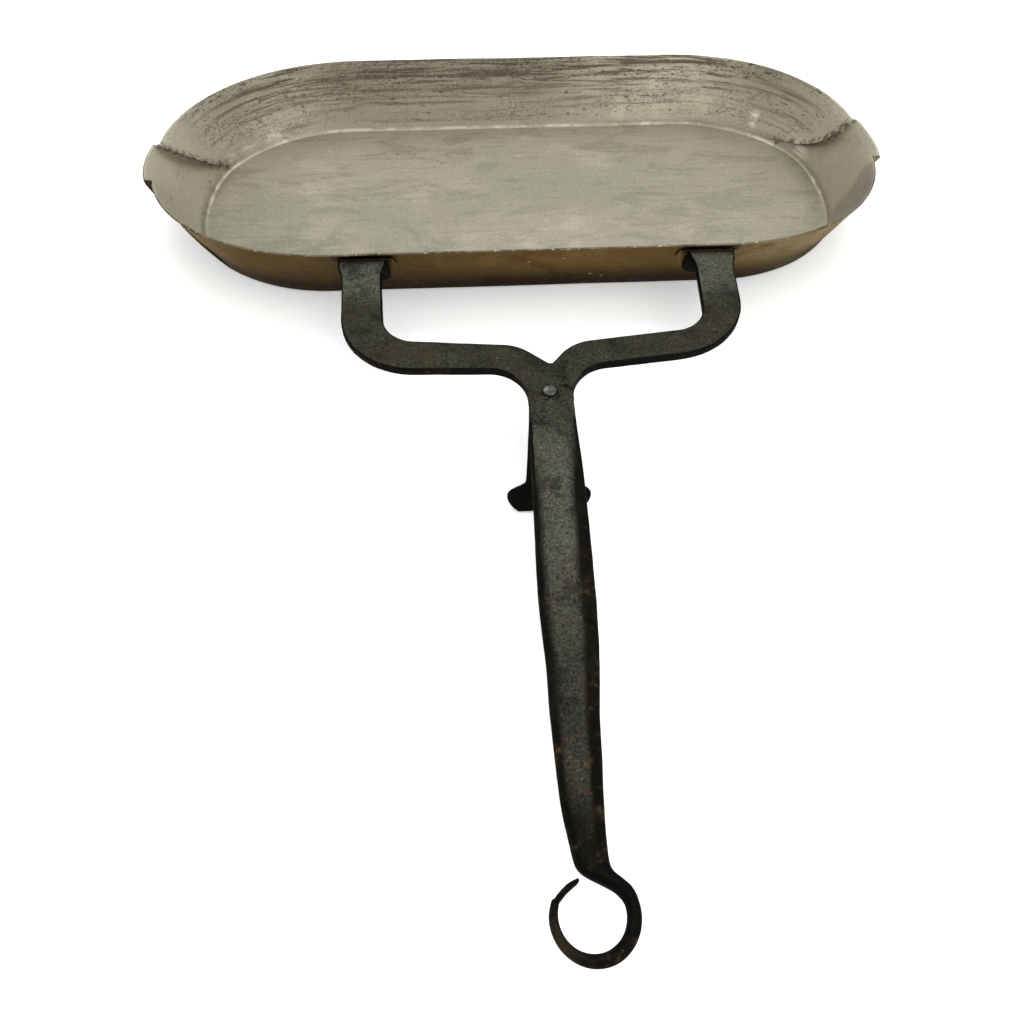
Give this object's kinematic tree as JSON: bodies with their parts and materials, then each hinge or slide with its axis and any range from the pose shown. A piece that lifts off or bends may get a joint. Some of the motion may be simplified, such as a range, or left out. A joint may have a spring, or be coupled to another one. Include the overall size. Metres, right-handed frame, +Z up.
{
  "type": "dripping pan",
  "caption": "Oblong brass dripping pan, tinned inside, with pouring lips, on a forged iron fork with a hanging eye and a swivelling leg.",
  "frame": {"origin": "middle of the pan's flat underside, on the surface that the pan and the leg stand on", "axes": "+Z up, +Y from the handle's eye to the pan's far side, +X along the pan to the right as seen from the handle"},
  "size_m": [0.4933, 0.6197, 0.045],
  "materials": {
    "brass": "worn sheet brass, tinned inside",
    "iron": "blackened forged iron with rust specks",
    "rivet": "hammered, rubbed bright"
  },
  "bodies": {
    "pan_and_handle": {"pan": "brass", "left_arm": "iron", "left_pad": "brass", "right_arm": "iron", "right_pad": "brass", "left_rivet_1": "iron", "left_rivet_2": "iron", "right_rivet_1": "iron", "right_rivet_2": "iron", "handle_shank": "iron", "leg_rivet": "rivet"},
    "leg": {"leg": "iron"}
  },
  "joints": [
    {"name": "leg_swivel", "type": "hinge", "parent": "pan_and_handle", "child": "leg", "pos_m": [0.005, -0.23345, 0.02985], "axis": [0, -0.0506, 0.9987], "continuous": true}
  ]
}
